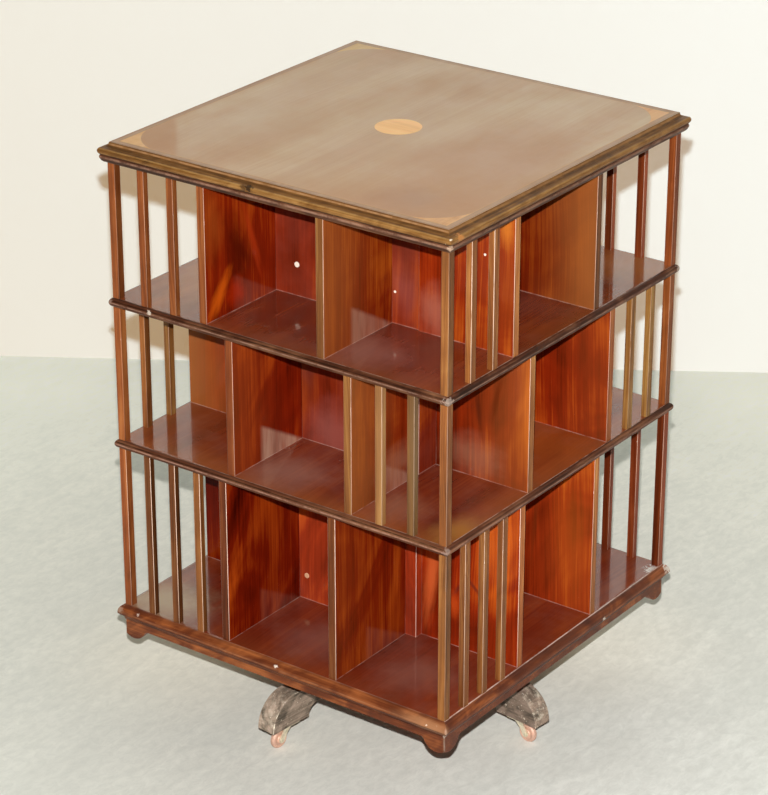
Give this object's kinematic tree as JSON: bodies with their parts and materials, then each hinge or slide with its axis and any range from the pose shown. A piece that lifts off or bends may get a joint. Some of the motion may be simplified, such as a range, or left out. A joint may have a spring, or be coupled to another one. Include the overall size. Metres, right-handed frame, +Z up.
{
  "type": "revolving bookcase",
  "caption": "Square tiered revolving bookcase with pinwheel dividers round a box column, slatted corners, a moulded inlaid top and a cross foot on castors.",
  "frame": {"origin": "on the floor under the spindle, at the centre of the square case", "axes": "+Z up along the spindle, -Y out of the front face, +X out of the right face"},
  "size_m": [0.5604, 0.5604, 0.8375],
  "materials": {
    "top_mahogany": "polished, faded",
    "crossbanding": "polished",
    "satinwood": "polished",
    "panel_mahogany": "polished",
    "shelf_mahogany": "polished, dark worn edges",
    "bar_mahogany": "polished, worn arrises",
    "base_mahogany": "polished",
    "foot_wood": "dull and scuffed",
    "castor_brass": "tarnished",
    "wheel_brass": "tarnished, coppery",
    "iron": "black",
    "screw_steel": "dull"
  },
  "bodies": {
    "cross_foot": {"cross_beam_upper": "foot_wood", "cross_beam_lower": "foot_wood", "centre_block": "foot_wood", "castor_plates": "castor_brass", "castor_plate_screws": "screw_steel", "lower_plate": "iron", "lower_plate_screws": "screw_steel", "thrust_washer": "castor_brass", "spindle": "iron", "spindle_washer": "iron", "spindle_nut": "iron"},
    "case": {"collar_screws": "screw_steel", "collar_plate": "iron", "pivot_cup": "iron", "base_board": "base_mahogany", "base_cove": "base_mahogany", "apron_boards": "base_mahogany", "lower_shelf": "shelf_mahogany", "upper_shelf": "shelf_mahogany", "sub_top": "shelf_mahogany", "top_board": "top_mahogany", "top_crossbanding": "crossbanding", "top_stringing": "satinwood", "top_spandrels": "satinwood", "top_patera": "satinwood", "column_bottom": "panel_mahogany", "posts_bottom": "bar_mahogany", "slats_bottom": "bar_mahogany", "dividers_bottom_front": "panel_mahogany", "dividers_bottom_right": "panel_mahogany", "dividers_bottom_back": "panel_mahogany", "dividers_bottom_left": "panel_mahogany", "column_middle": "panel_mahogany", "posts_middle": "bar_mahogany", "slats_middle": "bar_mahogany", "dividers_middle_front": "panel_mahogany", "dividers_middle_right": "panel_mahogany", "dividers_middle_back": "panel_mahogany", "dividers_middle_left": "panel_mahogany", "column_top": "panel_mahogany", "posts_top": "bar_mahogany", "slats_top": "bar_mahogany", "dividers_top_front": "panel_mahogany", "dividers_top_right": "panel_mahogany", "dividers_top_back": "panel_mahogany", "dividers_top_left": "panel_mahogany"},
    "castor_1": {"castor_horn_1": "castor_brass", "castor_axle_1": "castor_brass"},
    "wheel_1": {"castor_wheel_1": "wheel_brass"},
    "castor_2": {"castor_horn_2": "castor_brass", "castor_axle_2": "castor_brass"},
    "wheel_2": {"castor_wheel_2": "wheel_brass"},
    "castor_3": {"castor_horn_3": "castor_brass", "castor_axle_3": "castor_brass"},
    "wheel_3": {"castor_wheel_3": "wheel_brass"},
    "castor_4": {"castor_horn_4": "castor_brass", "castor_axle_4": "castor_brass"},
    "wheel_4": {"castor_wheel_4": "wheel_brass"}
  },
  "joints": [
    {"name": "case_turn", "type": "hinge", "parent": "cross_foot", "child": "case", "pos_m": [0, 0, 0.1395], "axis": [0, 0, 1], "continuous": true},
    {"name": "castor_1_swivel", "type": "hinge", "parent": "cross_foot", "child": "castor_1", "pos_m": [0.22766, -0.02473, 0.031], "axis": [0, 0, 1], "continuous": true},
    {"name": "castor_1_roll", "type": "hinge", "parent": "castor_1", "child": "wheel_1", "pos_m": [0.24198, -0.02629, 0.014], "axis": [0.108, 0.9942, 0], "continuous": true},
    {"name": "castor_2_swivel", "type": "hinge", "parent": "cross_foot", "child": "castor_2", "pos_m": [0.02473, 0.22766, 0.031], "axis": [0, 0, 1], "continuous": true},
    {"name": "castor_2_roll", "type": "hinge", "parent": "castor_2", "child": "wheel_2", "pos_m": [0.02629, 0.24198, 0.014], "axis": [-0.9942, 0.108, 0], "continuous": true},
    {"name": "castor_3_swivel", "type": "hinge", "parent": "cross_foot", "child": "castor_3", "pos_m": [-0.22766, 0.02473, 0.031], "axis": [0, 0, 1], "continuous": true},
    {"name": "castor_3_roll", "type": "hinge", "parent": "castor_3", "child": "wheel_3", "pos_m": [-0.24198, 0.02629, 0.014], "axis": [-0.108, -0.9942, 0], "continuous": true},
    {"name": "castor_4_swivel", "type": "hinge", "parent": "cross_foot", "child": "castor_4", "pos_m": [-0.02473, -0.22766, 0.031], "axis": [0, 0, 1], "continuous": true},
    {"name": "castor_4_roll", "type": "hinge", "parent": "castor_4", "child": "wheel_4", "pos_m": [-0.02629, -0.24198, 0.014], "axis": [0.9942, -0.108, 0], "continuous": true}
  ]
}
